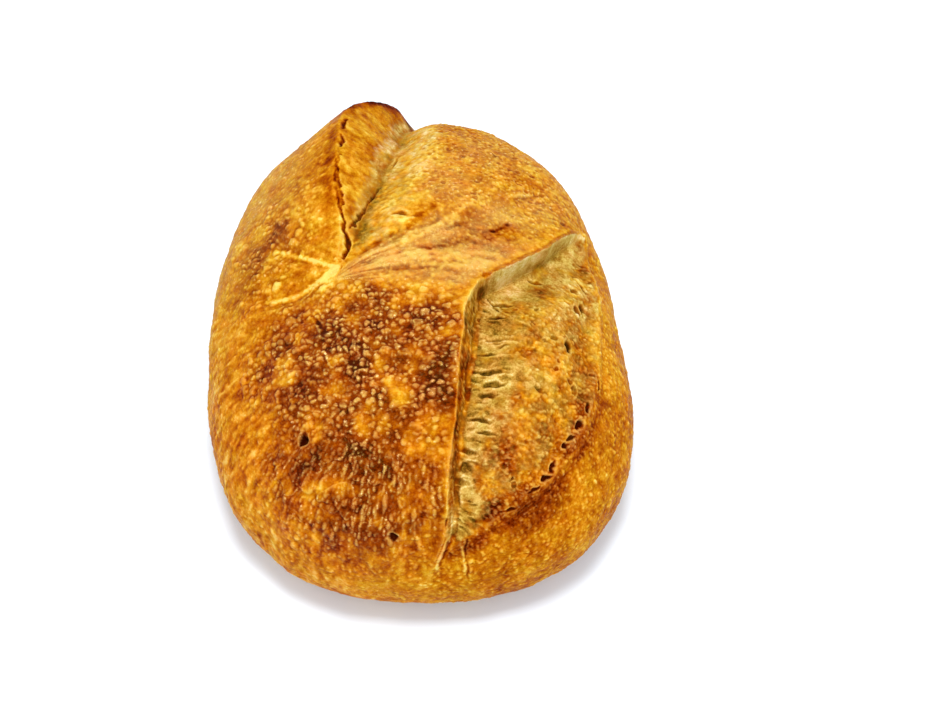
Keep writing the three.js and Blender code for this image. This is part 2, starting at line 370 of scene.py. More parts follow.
# ---------------- places on the crust map
def bearing_of(place):
    return np.arctan2(place[:, 1], place[:, 0])


def way_down(place):
    """How far each place is from the crown."""
    return np.hypot(*place.T)


def towards(bearing, way):
    return np.column_stack([way * np.cos(bearing), way * np.sin(bearing)])


def spline_through(rows):
    """Catmull-Rom through rows of numbers, every column carried along, with the way along it added last."""
    rows = np.array(rows, float)
    last = len(rows) - 1
    points = []
    for i in range(last):
        a, b, c, d = (rows[min(max(i + k, 0), last)] for k in (-1, 0, 1, 2))
        for step in range(CURVE_STEPS):
            t = step / CURVE_STEPS
            squared = t**2 * (a - 2.5 * b + 2 * c - 0.5 * d)
            cubed = t**3 * (1.5 * (b - c) + 0.5 * (d - a))
            points.append(b + 0.5 * t * (c - a) + squared + cubed)
    points = np.array(points + [rows[-1]])
    steps = np.hypot(*np.diff(points[:, :2], axis=0).T)
    along = np.concatenate([[0], np.cumsum(steps)])
    return np.column_stack([points, along])


def nearest_on(rows, place):
    """The point of the curve through rows that is nearest to each place: its row, the way along to it, the
    gap, the distance, which is the gap but below 0 to the left, the unit vector across to the right, and
    lateral, which is how far to the right of the curve's own line each place is."""
    curve = spline_through(rows)
    count = len(place)
    gap = np.full(count, np.inf)
    side = np.ones(count)
    lateral = np.zeros(count)
    across = np.zeros((count, 2))
    row = np.zeros((count, curve.shape[1]))
    for start, end in zip(curve[:-1], curve[1:]):
        way = end[:2] - start[:2]
        offset = place - start[:2]
        share = np.clip(offset @ way / (way @ way), 0, 1)
        off = np.hypot(offset[:, 0] - share * way[0], offset[:, 1] - share * way[1])
        nearer = np.flatnonzero(off < gap)
        gap[nearer] = off[nearer]
        turn = offset[nearer, 0] * way[1] - offset[nearer, 1] * way[0]
        side[nearer] = np.where(turn < 0, -1, 1)
        lateral[nearer] = turn / np.hypot(*way)
        across[nearer] = np.array([way[1], -way[0]]) / np.hypot(*way)
        row[nearer] = start + (end - start) * share[nearer, None]
    near = SimpleNamespace(row=row, along=row[:, -1], gap=gap, across=across, lateral=lateral)
    near.distance = side * gap
    return near


def find_near(place):
    """The nearest points on the scores and the other curves, with each score's lift, face and drop there."""
    near = SimpleNamespace(
        front=nearest_on(FRONT_SCORE, place),
        back=nearest_on(BACK_SCORE, place),
        rim=nearest_on(FRONT_RIM, place),
        crease=nearest_on(BAND_CREASE, place),
        nick=np.minimum(nearest_on(NICK_UPPER, place).gap, nearest_on(NICK_LOWER, place).gap),
    )
    for score in (near.front, near.back):
        score.lift, score.face, score.drop = score.row.T[2:5]
        score.past_foot = score.distance - score.face
    return near


# ---------------- the smooth loaf
def outline_reach(bearing):
    """The plan outline's reach from the widest section's middle, along a bearing."""
    back = np.sin(bearing) > 0
    power = np.where(back, NARROW_SQUARENESS, BROAD_SQUARENESS)
    across = np.abs(np.cos(bearing)) / HALF_WIDTH
    along = np.abs(np.sin(bearing)) / np.where(back, NARROW_END, BROAD_END)
    uneven = 1
    for waves, cosine, sine in OUTLINE_WAVES:
        uneven = uneven + cosine * np.cos(waves * bearing) + sine * np.sin(waves * bearing)
    return uneven * (across**power + along**power) ** (-1 / power)


def crown_to_bulge(bearing):
    """The way down the crust from the crown to the bulge, along a bearing."""
    rise = CROWN_HEIGHT - BULGE_HEIGHT
    return math.pi / 2 * np.sqrt((outline_reach(bearing) ** 2 + rise**2) / 2)


def polar_angle(place):
    """Each place's angle from the crown: BULGE_ANGLE on the bulge and pi in the base's middle."""
    return way_down(place) / crown_to_bulge(bearing_of(place)) * BULGE_ANGLE


def smooth_loaf(place):
    """Points of the loaf without relief: a dome, the side that draws in under its bulge, and the base."""
    bearing = bearing_of(place)
    polar = polar_angle(place)
    reach = outline_reach(bearing)
    turn = np.clip(polar / BULGE_ANGLE, 0, 1) * math.pi / 2
    radius = reach * np.sin(turn) ** (2 / DOME_SQUARENESS)
    height = BULGE_HEIGHT + (CROWN_HEIGHT - BULGE_HEIGHT) * np.cos(turn) ** (2 / DOME_SQUARENESS)
    turn = np.clip((polar - BULGE_ANGLE) / (BASE_ANGLE - BULGE_ANGLE), 0, 1) * math.pi / 2
    under = polar > BULGE_ANGLE
    radius = np.where(under, reach * (BASE_SHARE + (1 - BASE_SHARE) * np.cos(turn)), radius)
    height = np.where(under, BULGE_HEIGHT * (1 - np.sin(turn)), height)
    base = polar > BASE_ANGLE
    to_middle = (math.pi - polar) / (math.pi - BASE_ANGLE)
    radius = np.where(base, reach * BASE_SHARE * to_middle, radius)
    height = np.where(base, 0, height)
    return np.column_stack([towards(bearing, radius), height])


def outward_normal(place):
    step = 0.5
    east = smooth_loaf(place + [step, 0]) - smooth_loaf(place - [step, 0])
    north = smooth_loaf(place + [0, step]) - smooth_loaf(place - [0, step])
    normal = np.cross(east, north)
    length = np.linalg.norm(normal, axis=1, keepdims=True)
    return normal / np.maximum(length, 1e-9)


# ---------------- relief that the CAD solid has too
def score_relief(score, ear_reach, bloom_reach):
    """The crust curls up to the ridge, the face falls to the foot, and the bloom swells back."""
    ear = score.lift * np.maximum(0, 1 + score.distance / ear_reach) ** 2
    fall = lerp(score.lift, -score.drop, np.clip(score.distance / score.face, 0, 1))
    bloom = -score.drop * fading(score.past_foot, 0, bloom_reach)
    return np.where(score.distance <= 0, ear, np.where(score.past_foot <= 0, fall, bloom))


def score_lean(score, ear_reach, lean):
    """How far the ear leans over its bloom, as a step on the map."""
    ear = np.maximum(0, 1 + score.distance / ear_reach) ** 2
    fall = np.maximum(0, 1 - score.distance / score.face)
    return (lean * score.lift * np.where(score.distance <= 0, ear, fall))[:, None] * score.across


def main_relief(place, near):
    in_bloom = (near.front.distance > 0) & (near.rim.distance > 0)
    from_edge = np.where(in_bloom, np.minimum(near.front.gap, near.rim.gap), 0)
    step = smoothstep(-near.crease.distance, -CREASE_SLOPE, CREASE_SLOPE)
    lumps = sum(np.sin(kx * place[:, 0] + ky * place[:, 1] + phase) for kx, ky, phase in LUMP_WAVES)
    swell = sum(rise * bump(way_down(place - [x, y]), half_width) for x, y, half_width, rise in SWELLS)
    return (
        score_relief(near.front, FRONT_EAR_REACH, FRONT_BLOOM_REACH)
        + score_relief(near.back, BACK_EAR_REACH, BACK_BLOOM_REACH)
        + BLOOM_SWELL * smoothstep(from_edge, *BLOOM_SLOPE)
        + RIM_RISE * bump(near.rim.distance, RIM_HALF_WIDTH)
        + CREASE_STEP * step * bump(near.crease.gap, CREASE_REACH)
        - NICK_DEPTH * bump(near.nick, NICK_HALF_WIDTH)
        + swell
        + LUMP_RISE * lumps
    )


# ---------------- zones of the crust
def oval(place, x, y, half_length, half_width, turn=0):
    """How far out each place is in an oval: 0 at its middle and 1 at its edge."""
    cosine, sine = math.cos(math.radians(turn)), math.sin(math.radians(turn))
    dx, dy = place[:, 0] - x, place[:, 1] - y
    return np.hypot((dx * cosine + dy * sine) / half_length, (dy * cosine - dx * sine) / half_width)


def spot(place, *where):
    """1 in the middle of an oval, falling smoothly to 0 at its edge."""
    return fading(oval(place, *where), 0.3, 1)


def fan_place(place):
    """The bearing in degrees and the distance from the point that the pale band fans out from."""
    away = place - FAN_CENTRE
    return np.degrees(bearing_of(away)), way_down(away)


def beside_wall(front, low, high):
    """1 in the bloom beside the upright wall at the front score's right end, fading from low to high."""
    return smoothstep(front.row[:, 0], 22, 30) * fading(front.distance, low, high)


def front_zones(zone, place, smooth, near, ragged):
    """The bloom, its bared crumb and brown rim, and the ear's face: a strip that turns into a wall."""
    front, rim = near.front, near.rim
    within = (front.distance > 0) & (rim.along > 0.5) & (front.along > 25)
    zone.bloom = within * smoothstep(rim.distance + 2 * ragged, -1, 2)
    reach = np.interp(place[:, 1], *np.transpose(CRUMB_REACH)) * (1 + 0.35 * noise(smooth, 6, 41))
    turned = smoothstep(place[:, 0], 24, 29)
    skirt = (1 - turned) * (1.6 + 0.8 * ragged)
    past_skirt = front.past_foot - skirt
    bared = smoothstep(past_skirt, -0.4, 1) * fading(front.past_foot, 0.45 * reach, 1.1 * reach)
    zone.crumb = np.maximum(zone.bloom * bared, spot(place + ragged[:, None], *CRUMB_TUFT))
    on_face = (front.distance > -0.2) * fading(past_skirt, -0.6, 0.8) * smoothstep(front.along, 15, 30)
    zone.strip = on_face * (1 - turned)
    zone.wall = on_face * turned * smoothstep(front.lift, 0.3, 2)
    patchy = np.clip(0.75 + 0.8 * fractal(smooth, 12, 42), 0, 1)
    brown = np.minimum(1, 1.7 * bump(rim.distance + 1 - 1.5 * ragged, 13))
    zone.rim = brown * smoothstep(rim.along, 80, 120) * fading(rim.along, 185, 205) * patchy


def back_zones(zone, back, ragged):
    """The tall ear's inner face, the valley at its foot and the bloom past it."""
    zone.eared = smoothstep(back.lift, 1, 5)
    zone.back_face = zone.eared * smoothstep(back.distance, 0, 2) * fading(back.past_foot, -3, 0)
    zone.valley = bump(back.past_foot + 1.5, 8 + 3 * ragged) * smoothstep(back.drop, 1, 4)
    inner_part = smoothstep(back.past_foot, -1, 2) * fading(back.past_foot + 4 * ragged, 12, 28)
    zone.back_bloom = inner_part * smoothstep(back.drop, 0.5, 3)


def field_zones(zone, place, near, ragged):
    """The pale band and the blisters behind the front ear, the right shoulder and both flanks."""
    x, y = place.T
    way = way_down(place)
    behind = -near.front.lateral
    fan, out = fan_place(place)
    fanned = smoothstep(fan + 2 * ragged, -16, -9) * fading(fan + 3 * ragged, 20, 31)
    reached = smoothstep(out, 2, 8) * fading(out + 8 * ragged, 62, 88)
    zone.band = fanned * reached * smoothstep(behind, 0.5, 4)
    blistered = np.maximum.reduce([strength * spot(place, *where) for *where, strength in BLISTER_ZONES])
    plain = (1 - zone.bloom) * (1 - 0.9 * zone.band) * smoothstep(behind, -0.3, 1.2)
    zone.blister = np.clip(blistered, 0, 1) * plain * (1 - zone.eared * (near.back.distance > -2))
    soft = 3 + np.clip(way - 98, 0, 60)
    right_side = smoothstep(x + 0.6 * y, 30, 50) * smoothstep(near.back.past_foot, 6, 20)
    zone.shoulder = right_side * (1 - zone.band) * smoothstep(behind - 5, -soft, soft)
    outside = (1 - zone.bloom) * smoothstep(way, 55, 85) * smoothstep(0.3 * x - y, -60, -20)
    zone.left_flank = outside * smoothstep(-x, 35, 65)
    zone.low_flank = outside * smoothstep(x, -40, 10)


def zones(place, smooth, near):
    """Shares from 0 to 1 that say what kind of crust each place has."""
    zone = SimpleNamespace()
    ragged = fractal(smooth, 9, 40)
    front_zones(zone, place, smooth, near, ragged)
    back_zones(zone, near.back, ragged)
    field_zones(zone, place, near, ragged)
    return zone


# ---------------- fine relief
# Each function gives a rise in millimetres, and notes in the zones the marks that colour the crust.
def lined(across, along, pitch, length):
    """Points for a noise that makes lines: across them in pitches and along them in lengths."""
    return np.column_stack([across / pitch, along / length, np.zeros(len(across))])


def rolled(place, stretch):
    """Points for a noise that runs down the sides, stretched that many times."""
    return np.column_stack([towards(bearing_of(place), ROLL_RADIUS), way_down(place) / stretch])


def blister_relief(place, smooth, zone):
    """Bubbles on top, which run into longer glazed ones down the front."""
    density = np.clip(zone.blister * (0.85 + 0.9 * fractal(smooth, 10, 50)), 0, 1)
    bent = shaken(shaken(smooth, 0.5, 2, 53), 0.9, 5, 47)
    bubbles = [
        height * domes(bent, size, channel, share * density, flatness)
        for size, height, share, flatness, channel in BLISTERS
    ]
    round_ones = np.maximum.reduce(bubbles) + 0.25 * domes(bent, 1.9, 80, 0.25 + 0.5 * density, 1.2)
    round_ones += density * (0.5 * fractal(bent, 4, 46, 2) + 0.4 * noise(smooth, 8, 44))
    down = shaken(rolled(place, 2.2), 0.7, 3, 56)
    long_ones = 0.9 * domes(down, 3, 90, 0.7 * density, 0.8)
    long_ones += 0.6 * domes(down, 1.7, 95, 0.2 + 0.6 * density, 1)
    long_ones += 0.45 * density * fractal(shaken(rolled(place, 3.2), 1.2, 6, 85), 3.4, 88)
    below = smoothstep(-place[:, 1], 30, 62) * smoothstep(way_down(place), 45, 70)
    torn_skin = 0.45 * smoothstep(noise(shaken(bent, 1.5, 4, 62), 8, 63), 0.02, 0.14)
    torn_skin += 0.4 * smoothstep(noise(shaken(down, 1.2, 3, 66), 6, 67), 0.1, 0.24) * below
    fused = 1 - 0.65 * smoothstep(fractal(smooth, 9, 98), 0.05, 0.4)
    return lerp(round_ones, long_ones, below) * fused + density * torn_skin


def band_relief(place, smooth, zone):
    """Streaks that fan out along the pale band, and its grain."""
    fan, out = fan_place(place)
    fan += 2.2 * noise(smooth, 11, 100) + 0.8 * noise(smooth, 4, 99)
    streaks = 0.5 * noise(lined(fan, out, 5, 24), 1, 101) + 0.5 * noise(lined(fan, out, 2.3, 9), 1, 102)
    grain = 0.35 * fractal(smooth, 3, 103) + 0.4 * domes(shaken(smooth, 0.6, 2, 43), 2.2, 48, 0.5, 1)
    zone.streaks = zone.band * streaks
    return zone.band * (0.6 * streaks + grain)


def streak_relief(place, smooth, zone):
    """The pale ridges and dark creases of STREAKS, which fade out towards their ends.

    A known fault: a streak's length is taken from the places given, so it is 0, and the rise has no value,
    where all of them lie before its start. That leaves the threads and the flakes without a shape.
    """
    rise = np.zeros(len(place))
    zone.darker = np.zeros(len(place))
    broken = np.clip(0.75 + 0.9 * fractal(smooth, 3, 135, 2), 0, 1.3)
    for rows, half_width, height, amount in STREAKS:
        near = nearest_on(rows, place)
        length = near.along.max()
        ends = smoothstep(near.along, 0, 0.2 * length) * fading(near.along, 0.8 * length, length)
        share = bump(near.gap, 1.6 * half_width) * ends * broken
        rise += height * share
        zone.darker += amount * share
    return rise


def bloom_relief(smooth, near, zone):
    """Torn threads and pores by the front ear's foot, rough grain past them, and the rim's fibres."""
    front, rim = near.front, near.rim
    across = front.along + 0.22 * front.distance + 2.4 * noise(smooth, 8, 105) + 1.1 * noise(smooth, 3, 104)
    drift = front.distance + 2 * noise(smooth, 6, 119)
    by_wall = beside_wall(front, 12, 22)
    threads = 0.5 * noise(lined(across, drift, 3, 8), 1, 106)
    threads += 0.35 * folds(lined(across, drift, 1.9, 5), 1, 107)
    threads += 0.25 * noise(lined(across, drift, 1.2, 3), 1, 121)
    threads *= 0.65 * (1 - 0.7 * by_wall)
    pores = domes(lined(across, drift, 2.2, 5.5), 1, 108, 0.2 + 0.5 * fading(front.distance, 8, 26), 0.8)
    pores *= 1 - 0.8 * by_wall
    rough = 0.7 * fractal(smooth, 6, 110) + 0.4 * fractal(lined(across, drift, 2.6, 4.5), 1, 113)
    rough += 0.6 * domes(shaken(smooth, 0.7, 2, 112), 2.3, 115, 0.45, 1)
    rough += 0.25 * fractal(smooth, 1.3, 116, 2)
    line = rim.along + 1.5 * noise(smooth, 5, 117)
    fibres = folds(lined(rim.distance + 1.5 * noise(smooth, 7, 127), line, 2.3, 13), 1, 118)
    zone.torn = 0.8 * zone.crumb * pores
    zone.fibres = zone.rim * fibres
    relief = zone.crumb * (threads + 0.25 * rough - 0.85 * pores)
    relief += (zone.bloom - zone.crumb) * (rough + 0.25 * threads)
    return relief + zone.rim * (0.18 * fibres + 0.6 * fractal(smooth, 3.5, 120))


def face_relief(smooth, near, zone):
    """Streaks along the front ear's face, folds on the back ear's, and fine ridges over the back bloom."""
    front, back = near.front, near.back
    lines = noise(lined(front.distance + 0.6 * noise(smooth, 7, 124), front.along, 1.6, 12), 1, 125)
    down_face = lined(back.along + 0.4 * back.distance + 3 * noise(smooth, 9, 128), back.distance, 4, 11)
    ridges = lined(back.along + 1.2 * noise(smooth, 7, 131), back.distance, 2.3, 14)
    zone.lines = (zone.strip + 0.6 * zone.wall) * lines
    relief = (0.45 * zone.strip + 0.2 * zone.wall) * lines + 0.35 * zone.wall * fractal(smooth, 6, 126)
    relief += zone.back_face * (0.15 * noise(down_face, 1, 129) + 0.4 * fractal(smooth, 6, 130))
    return relief + zone.back_bloom * (0.1 * folds(ridges, 1, 132) + 0.5 * fractal(smooth, 3.4, 133))


def grain_relief(smooth, zone, open_crust):
    """Grains over the flanks and the open crust, the shoulder's dimples and the bloom's pocks."""
    grainy = np.maximum.reduce([zone.low_flank, 0.8 * zone.shoulder, 0.5 * open_crust])
    dimples = domes(shaken(smooth, 0.9, 3, 151), 2.6, 150, 0.4 * zone.shoulder)
    zone.grains = domes(shaken(smooth, 0.6, 2, 147), 2, 148, 0.6 * grainy, 1)
    zone.pocks = domes(shaken(smooth, 0.9, 2.2, 157), 4, 160, 0.13 * (zone.bloom - zone.crumb))
    return 0.36 * zone.grains - 0.6 * dimples - 1.3 * zone.pocks


def holes(place, rows, wider=1):
    """How deep each place lies in the given holes, in millimetres, and how much they darken it, which inside
    them is painted shade. wider takes in the crust round them."""
    deepest, share = np.zeros((2, len(place)))
    for *where, depth in rows:
        into = fading(oval(place, *where) / wider, 0.2, 1.4)
        deepest = np.maximum(deepest, depth * into)
        share = np.maximum(share, into * min(0.9, 0.1 + 0.14 * depth))
    return deepest, share


def cracks(place):
    """How deep each place lies in the cracks, how much painted shade they put in it, and how far up their
    lips it is.
    """
    deepest, share, lips = np.zeros((3, len(place)))
    for rows in CRACKS:
        near = nearest_on(rows, place)
        half_width, depth = near.row.T[2:4]
        into = fading(near.gap, 0.45 * half_width, 1.25 * half_width)
        deepest = np.maximum(deepest, depth * into)
        share = np.maximum(share, into * np.clip(0.2 + 0.25 * depth, 0, 0.9) * smoothstep(depth, 0.2, 0.8))
        lips = np.maximum(lips, bump(near.gap - 1.7 * half_width, 1.1) * smoothstep(depth, 0.5, 2.5))
    return deepest, share, lips


def hole_relief(place, smooth, zone):
    bent = place + 0.9 * wander(smooth, 2.5, 165, 2)
    pit_depth, pit = holes(bent, PITS)
    hollow_depth, hollow = holes(bent, HOLLOWS)
    crack_depth, crack, lips = cracks(bent)
    zone.halo = holes(bent, PITS, 2.2)[1]
    # Painted shade in the pits, hollows, cracks, pores and pocks.
    zone.sunk = np.maximum.reduce([pit, 0.6 * hollow, crack, 0.6 * zone.torn, 0.35 * zone.pocks])
    deepest = np.maximum.reduce([pit_depth, 0.75 * hollow_depth, crack_depth])
    return 0.25 * lips * noise(smooth, 3, 169) - deepest


def fine_relief(place, smooth, near, zone):
    """The crust's own texture."""
    open_crust = 1 - np.maximum.reduce([zone.bloom, zone.band, zone.strip, zone.wall])
    open_crust *= 1 - 0.85 * np.maximum(zone.back_face, zone.valley)
    open_crust *= 1 - 0.7 * zone.back_bloom
    running = smoothstep(way_down(place), 50, 75) * noise(shaken(rolled(place, 3), 0.8, 4, 141), 2.4, 143)
    uneven = 0.35 * fractal(smooth, 6, 140) + 0.25 * running
    relief = open_crust * (blister_relief(place, smooth, zone) + uneven)
    relief += 0.2 * fractal(smooth, 1.8, 145, 2) * (1 - 0.9 * zone.wall)
    relief += 0.9 * bump(near.nick, 2) - 0.4 * bump(near.nick - 3.6, 2)
    relief += streak_relief(place + 0.9 * wander(smooth, 5, 137, 2), smooth, zone)
    relief += band_relief(place, smooth, zone) + bloom_relief(smooth, near, zone)
    relief += face_relief(smooth, near, zone)
    relief += grain_relief(smooth, zone, open_crust)
    return relief + hole_relief(place, smooth, zone)


# ---------------- what the material reads
def weighed(zone, weights):
    """The sum of the named shares, each times its weight."""
    return sum(weight * getattr(zone, name) for name, weight in weights.items())


def toasting_and_shading(place, smooth, near, zone):
    """How dark the crust is, from 0, straw, to 1, nearly black: how dark it is baked, with painted shade in
    its hollows and along some creases, and painted light at the foot of the front ear's face.
    """
    x, y = place.T
    front, back = near.front, near.back
    toast_and_shading = 0.38 + 0.1 * fractal(smooth, 24, 170) + 0.18 * fractal(smooth, 9, 175) + weighed(zone, TOASTED)
    toast_and_shading += 0.13 * fractal(smooth, 2.4, 180, 2) - 0.34 * bump(near.nick, 2.4)
    for *where, amount in TOAST_SPOTS:
        toast_and_shading += amount * spot(place, *where)
    for kind, amount, size, channel in MOTTLES:
        toast_and_shading += amount * getattr(zone, kind) * noise(smooth, size, channel)
    down_side = noise(shaken(rolled(place, 4), 0.8, 4, 187), 1.5, 190)
    toast_and_shading += 0.22 * zone.back_face * fractal(smooth, 14, 183) - 0.26 * zone.left_flank * down_side
    # Painted light on the lower part of the front ear's strip, against the shade at its foot.
    toast_and_shading -= 0.14 * zone.strip * smoothstep(front.distance, 3, 7)
    toast_and_shading -= 0.12 * zone.low_flank * smoothstep(y, -30, 20)
    front_edge = bump(front.distance + 0.6, 1.3) * smoothstep(x, 22, 30) * smoothstep(front.lift, 0.5, 2)
    back_edge = bump(back.distance + 0.5, 3.5) * smoothstep(y, 105, 130) * smoothstep(back.lift, 4, 9)
    toast_and_shading += 0.45 * front_edge + 0.4 * back_edge
    toast_and_shading = np.where(toast_and_shading > WELL_BAKED, 0.5 * (toast_and_shading + WELL_BAKED), toast_and_shading)
    # Painted shade in the pits, hollows and cracks is added here.
    return toast_and_shading + 0.42 * zone.sunk + zone.darker + 0.14 * zone.halo


def crust_shares(place, smooth, near, zone):
    x, y = place.T
    gold = fractal(smooth, 7, 205)
    dust = fractal(smooth, 12, 200)
    grainy = fractal(smooth, 2.2, 195, 2)
    # The raised tops, which get painted highlights.
    tops = np.clip(zone.sharp, 0, 1)
    zone.bare = np.clip(zone.bloom - zone.crumb, 0, 1)
    zone.tuft = spot(place, *CRUMB_TUFT)
    zone.by_wall = beside_wall(near.front, 10, 20)
    zone.nicked = bump(near.nick, 2)
    zone.down_face = zone.back_face * smoothstep(near.back.distance / near.back.face, 0.35, 0.95)
    upper_bare = zone.bare * smoothstep(y, -20, 10)
    upper_left = smoothstep(-x, 30, 60) * smoothstep(y, 30, 80) * (1 - zone.blister)
    uneven = 1 - 0.8 * zone.wall - 0.35 * zone.blister

    toast_and_shading = toasting_and_shading(place, smooth, near, zone)
    # Painted highlights on raised crust and painted shade in its hollows, by how far it stands out from its
    # surroundings.
    toast_and_shading -= uneven * (0.1 * zone.sharp * (1 - 0.3 * zone.blister) + 0.2 * zone.broad)

    crumb = weighed(zone, TORN) + 0.7 * zone.crumb * gold
    crumb += (zone.bare * (0.42 + 0.1 * grainy + 0.4 * gold) + 0.18 * upper_bare) * (1 - 0.8 * zone.rim)
    crumb += grainy * (0.4 * zone.back_bloom + 0.1 * (1 - zone.blister))

    light = 0.5 + 0.3 * gold + 0.26 * dust + weighed(zone, LIGHTER)
    # The sharp and broad terms: painted highlights on the crumb's raised places and painted shade in its
    # hollows.
    light += uneven * (0.09 * zone.sharp + 0.22 * zone.broad) + 0.08 * zone.valley * smoothstep(y, 60, 90)
    light += zone.wall * (0.1 * gold - 0.2 * zone.lines) + 0.17 * upper_bare * (1 - zone.wall - zone.strip)

    golden = 0.02 + 0.08 * smoothstep(y, -15, 45) + weighed(zone, MORE_GOLDEN)
    golden += 0.05 * upper_bare * (1 - zone.wall) - 0.12 * zone.left_flank * (1 - upper_left)

    # Flour dust on the band, the shoulder and the upper left, and painted highlights on the raised tops.
    flour_and_highlight = zone.band * (0.4 + 0.3 * dust + 0.15 * zone.sharp + 0.35 * zone.streaks)
    flour_and_highlight += tops * (0.2 + 0.3 * zone.bare + zone.blister * (0.4 + 0.5 * dust))
    flour_and_highlight += zone.shoulder * (0.1 + 0.3 * dust + 0.3 * tops) + upper_left * (0.28 + 0.3 * dust + 0.3 * tops)
    flour_and_highlight -= 1.2 * zone.darker + zone.sunk
    return {
        "toast_and_shading": toast_and_shading,
        "crumb": np.clip(crumb, 0, 1),
        "crumb_light": light,
        "golden": golden,
        "flour_and_highlight": np.clip(flour_and_highlight, 0, 1),
        "gloss": zone.blister * fading(y, 10, 35),
        "matte": np.clip(zone.bloom + 0.5 * zone.band + 0.6 * zone.wall, 0, 1),
    }


# ---------------- the crust's surface
def crust_height(place):
    """How high the crust stands over the smooth loaf at each place, and what it is like there."""
    smooth = smooth_loaf(place)
    finely = 0.2 * fading(place[:, :1], 18, 26)
    near = find_near(place + 0.7 * (wander(smooth, 8, 10, 2) + finely * wander(smooth, 2.4, 12, 2)))
    zone = zones(place, smooth, near)
    fine = fine_relief(place, smooth, near, zone) - FINE_MEAN
    polar = polar_angle(place)
    fade = fading(polar, BULGE_ANGLE, BASE_ANGLE)
    off_base = fading(polar, BASE_ANGLE - 0.12, BASE_ANGLE)
    height = fade * main_relief(place, near) + (0.4 + 0.6 * fade) * off_base * fine
    return height, near, zone, smooth


def crust_points(place, near, height):
    """Points in the frame at the given heights over the smooth loaf, with the ears' lean."""
    leant = place + score_lean(near.front, FRONT_EAR_REACH, FRONT_LEAN)
    leant += score_lean(near.back, BACK_EAR_REACH, BACK_LEAN)
    points = smooth_loaf(leant) + outward_normal(leant) * height[:, None]
    points[:, 2] = np.maximum(points[:, 2], 0)
    return points - MIDDLE


def smoothed(values, triangles, rounds):
    """Values at the corners of triangles, each averaged with its neighbours' that many times."""
    a, b, c = triangles.T
    count = 2 * np.bincount(triangles.ravel(), minlength=len(values))
    for _ in range(rounds):
        total = np.bincount(a, values[b] + values[c], len(values))
        total += np.bincount(b, values[c] + values[a], len(values))
        total += np.bincount(c, values[a] + values[b], len(values))
        values = 0.5 * values + 0.5 * total / count
    return values


def crust_surface(place, triangles):
    """Points of the crust, in millimetres in the frame, and each point's shares for the material."""
    height, near, zone, smooth = crust_height(place)
    close_by = smoothed(height, triangles, 5)
    further_off = smoothed(close_by, triangles, 40)
    # How far each place stands out from its surroundings, close by and further off. The material paints
    # highlights on the raised places and shade in the sunk ones.
    zone.sharp = np.clip((height - close_by) / 0.2, -0.7, 1.2)
    zone.broad = np.clip((height - further_off) / 0.6, -0.8, 0.7)
    return crust_points(place, near, height), crust_shares(place, smooth, near, zone)


# ---------------- the mesh
# Sectors of the crust, so that no piece holds too many triangles: the bearings in degrees that each spans.
SECTORS = {
    "crust_front": (180, 266),
    "bloom_front": (266, 332),
    "crust_right": (332, 398),
    "crust_back": (38, 100),
    "crust_left": (100, 180),
}
UNDERSIDE_ANGLE = 0.72 * math.pi  # from the crown to where the underside's piece starts
MAP_MARGIN = 0.002  # left free round the bake map


def geodesic_sphere(divisions):
    """Unit directions and triangles of an icosahedron with its edges divided evenly."""
    seed = bmesh.new()
    bmesh.ops.create_icosphere(seed, subdivisions=1, radius=1)
    seed.verts.ensure_lookup_table()
    corners = np.array([v.co for v in seed.verts])
    faces = np.array([[v.index for v in f.verts] for f in seed.faces])
    seed.free()
    rows, columns = np.mgrid[0 : divisions + 1, 0 : divisions + 1]
    kept = rows + columns <= divisions
    number = np.cumsum(kept).reshape(kept.shape) - 1
    i, j = rows[kept], columns[kept]
    shares = np.column_stack([i, j, divisions - i - j]) / divisions
    points = np.concatenate([shares @ corners[face] for face in faces])
    up = rows + columns < divisions
    down = rows + columns < divisions - 1
    i, j = rows[up], columns[up]
    triangles = [np.column_stack([number[i, j], number[i + 1, j], number[i, j + 1]])]
    i, j = rows[down], columns[down]
    triangles.append(np.column_stack([number[i + 1, j], number[i + 1, j + 1], number[i, j + 1]]))
    triangles = np.concatenate(triangles)
    triangles = np.concatenate([triangles + k * kept.sum() for k in range(len(faces))])
    keys = np.round(points * 1e7).astype(np.int64)
    _, first, joined = np.unique(keys, axis=0, return_index=True, return_inverse=True)
    triangles = joined.reshape(-1)[triangles]
    points = points[first]
    points /= np.linalg.norm(points, axis=1, keepdims=True)
    inward = np.einsum("ij,ij->i", facing(points, triangles), points[triangles[:, 0]]) < 0
    triangles[inward] = triangles[inward][:, ::-1]
    return points, triangles


def facing(points, triangles):
    """The normal of each triangle, as long as twice its area."""
    a, b, c = (points[corner] for corner in triangles.T)
    return np.cross(b - a, c - a)


def vertex_normals(points, triangles):
    normals = np.zeros_like(points)
    for axis, values in enumerate(facing(points, triangles).T):
        for corner in triangles.T:
            normals[:, axis] += np.bincount(corner, values, len(points))
    return normals / np.maximum(np.linalg.norm(normals, axis=1, keepdims=True), 1e-12)


def crust_places(directions):
    """Where each direction of the sphere lies on the crust map."""
    bearing = bearing_of(directions)
    polar = np.arccos(np.clip(directions[:, 2], -1, 1))
    return towards(bearing, polar / BULGE_ANGLE * crown_to_bulge(bearing))


def sector_of(directions, triangles):
    """Each triangle's piece."""
    middle = directions[triangles].mean(axis=1)
    bearing = np.degrees(bearing_of(middle)) % 360
    polar = np.arccos(np.clip(middle[:, 2] / np.linalg.norm(middle, axis=1), -1, 1))
    piece = np.full(len(triangles), "underside", dtype=object)
    for name, (start, end) in SECTORS.items():
        within = (bearing - start) % 360 < end - start
        piece[(polar <= UNDERSIDE_ANGLE) & within] = name
    return piece


